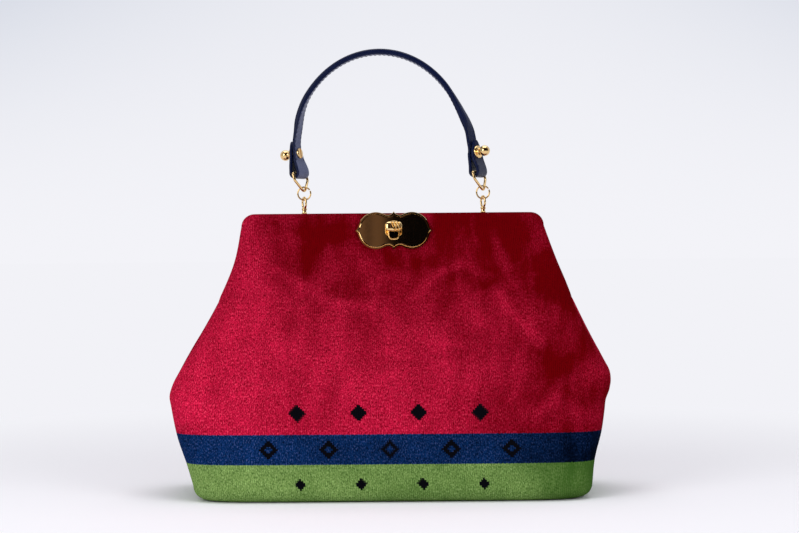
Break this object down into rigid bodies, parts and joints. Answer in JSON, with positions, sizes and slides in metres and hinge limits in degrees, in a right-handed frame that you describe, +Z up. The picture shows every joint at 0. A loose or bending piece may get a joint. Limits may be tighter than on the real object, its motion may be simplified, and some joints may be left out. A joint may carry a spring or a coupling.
{
  "type": "velvet frame handbag",
  "caption": "Free-standing velvet handbag with colour bands, a hinged mouth frame, a turn lock on a lobed plate and a leather top handle on rings.",
  "frame": {"origin": "middle of the flat base, at floor level", "axes": "+X to the right as seen from the front, +Y to the rear, +Z up"},
  "size_m": [0.334, 0.136, 0.331],
  "materials": {
    "velvet": "woven velvet pile, red over blue and green bands",
    "board": "plain pressed board",
    "lining_cloth": "plain cotton twill",
    "frame_steel": "plain drawn steel",
    "polished_gold": "polished light gold plate",
    "strap_leather": "navy leather with fine grain and stitched edges"
  },
  "bodies": {
    "root": {"base_panel": "velvet", "base_board": "board", "front_lower_panel": "velvet", "rear_lower_panel": "velvet", "left_gusset": "velvet", "right_gusset": "velvet", "lining": "lining_cloth", "left_hinge_pin": "frame_steel", "right_hinge_pin": "frame_steel"},
    "front_half": {"front_frame": "frame_steel", "front_facing": "lining_cloth", "front_top_panel": "velvet", "lock_plate": "polished_gold", "slot_rim": "polished_gold", "lock_backplate": "frame_steel"},
    "rear_half": {"rear_frame": "frame_steel", "rear_facing": "lining_cloth", "rear_top_panel": "velvet", "keeper": "frame_steel", "left_handle_eye": "polished_gold", "right_handle_eye": "polished_gold"},
    "knob": {"turn_knob": "polished_gold", "latch_tongue": "frame_steel"},
    "handle": {"handle_strap": "strap_leather", "left_round_ring": "polished_gold", "right_round_ring": "polished_gold", "left_d_ring": "polished_gold", "right_d_ring": "polished_gold", "left_ball_stud": "polished_gold", "right_ball_stud": "polished_gold", "left_stud_screw": "polished_gold", "right_stud_screw": "polished_gold"}
  },
  "joints": [
    {"name": "front_open", "type": "hinge", "parent": "root", "child": "front_half", "pos_m": [0, 0, 0.144], "axis": [1, 0, 0], "range_deg": [0, 35]},
    {"name": "rear_open", "type": "hinge", "parent": "root", "child": "rear_half", "pos_m": [0, 0, 0.144], "axis": [-1, 0, 0], "range_deg": [0, 35]},
    {"name": "knob_turn", "type": "hinge", "parent": "front_half", "child": "knob", "pos_m": [0, -0.01465, 0.1945], "axis": [0, 0.9732, -0.23], "range_deg": [0, 90]},
    {"name": "handle_swing", "type": "hinge", "parent": "rear_half", "child": "handle", "pos_m": [0, 0.0047, 0.2183], "axis": [1, 0, 0], "range_deg": [-90, 90]}
  ],
  "couplings": [
    {"joint": "rear_open", "follows": "front_open", "ratio": 1}
  ]
}
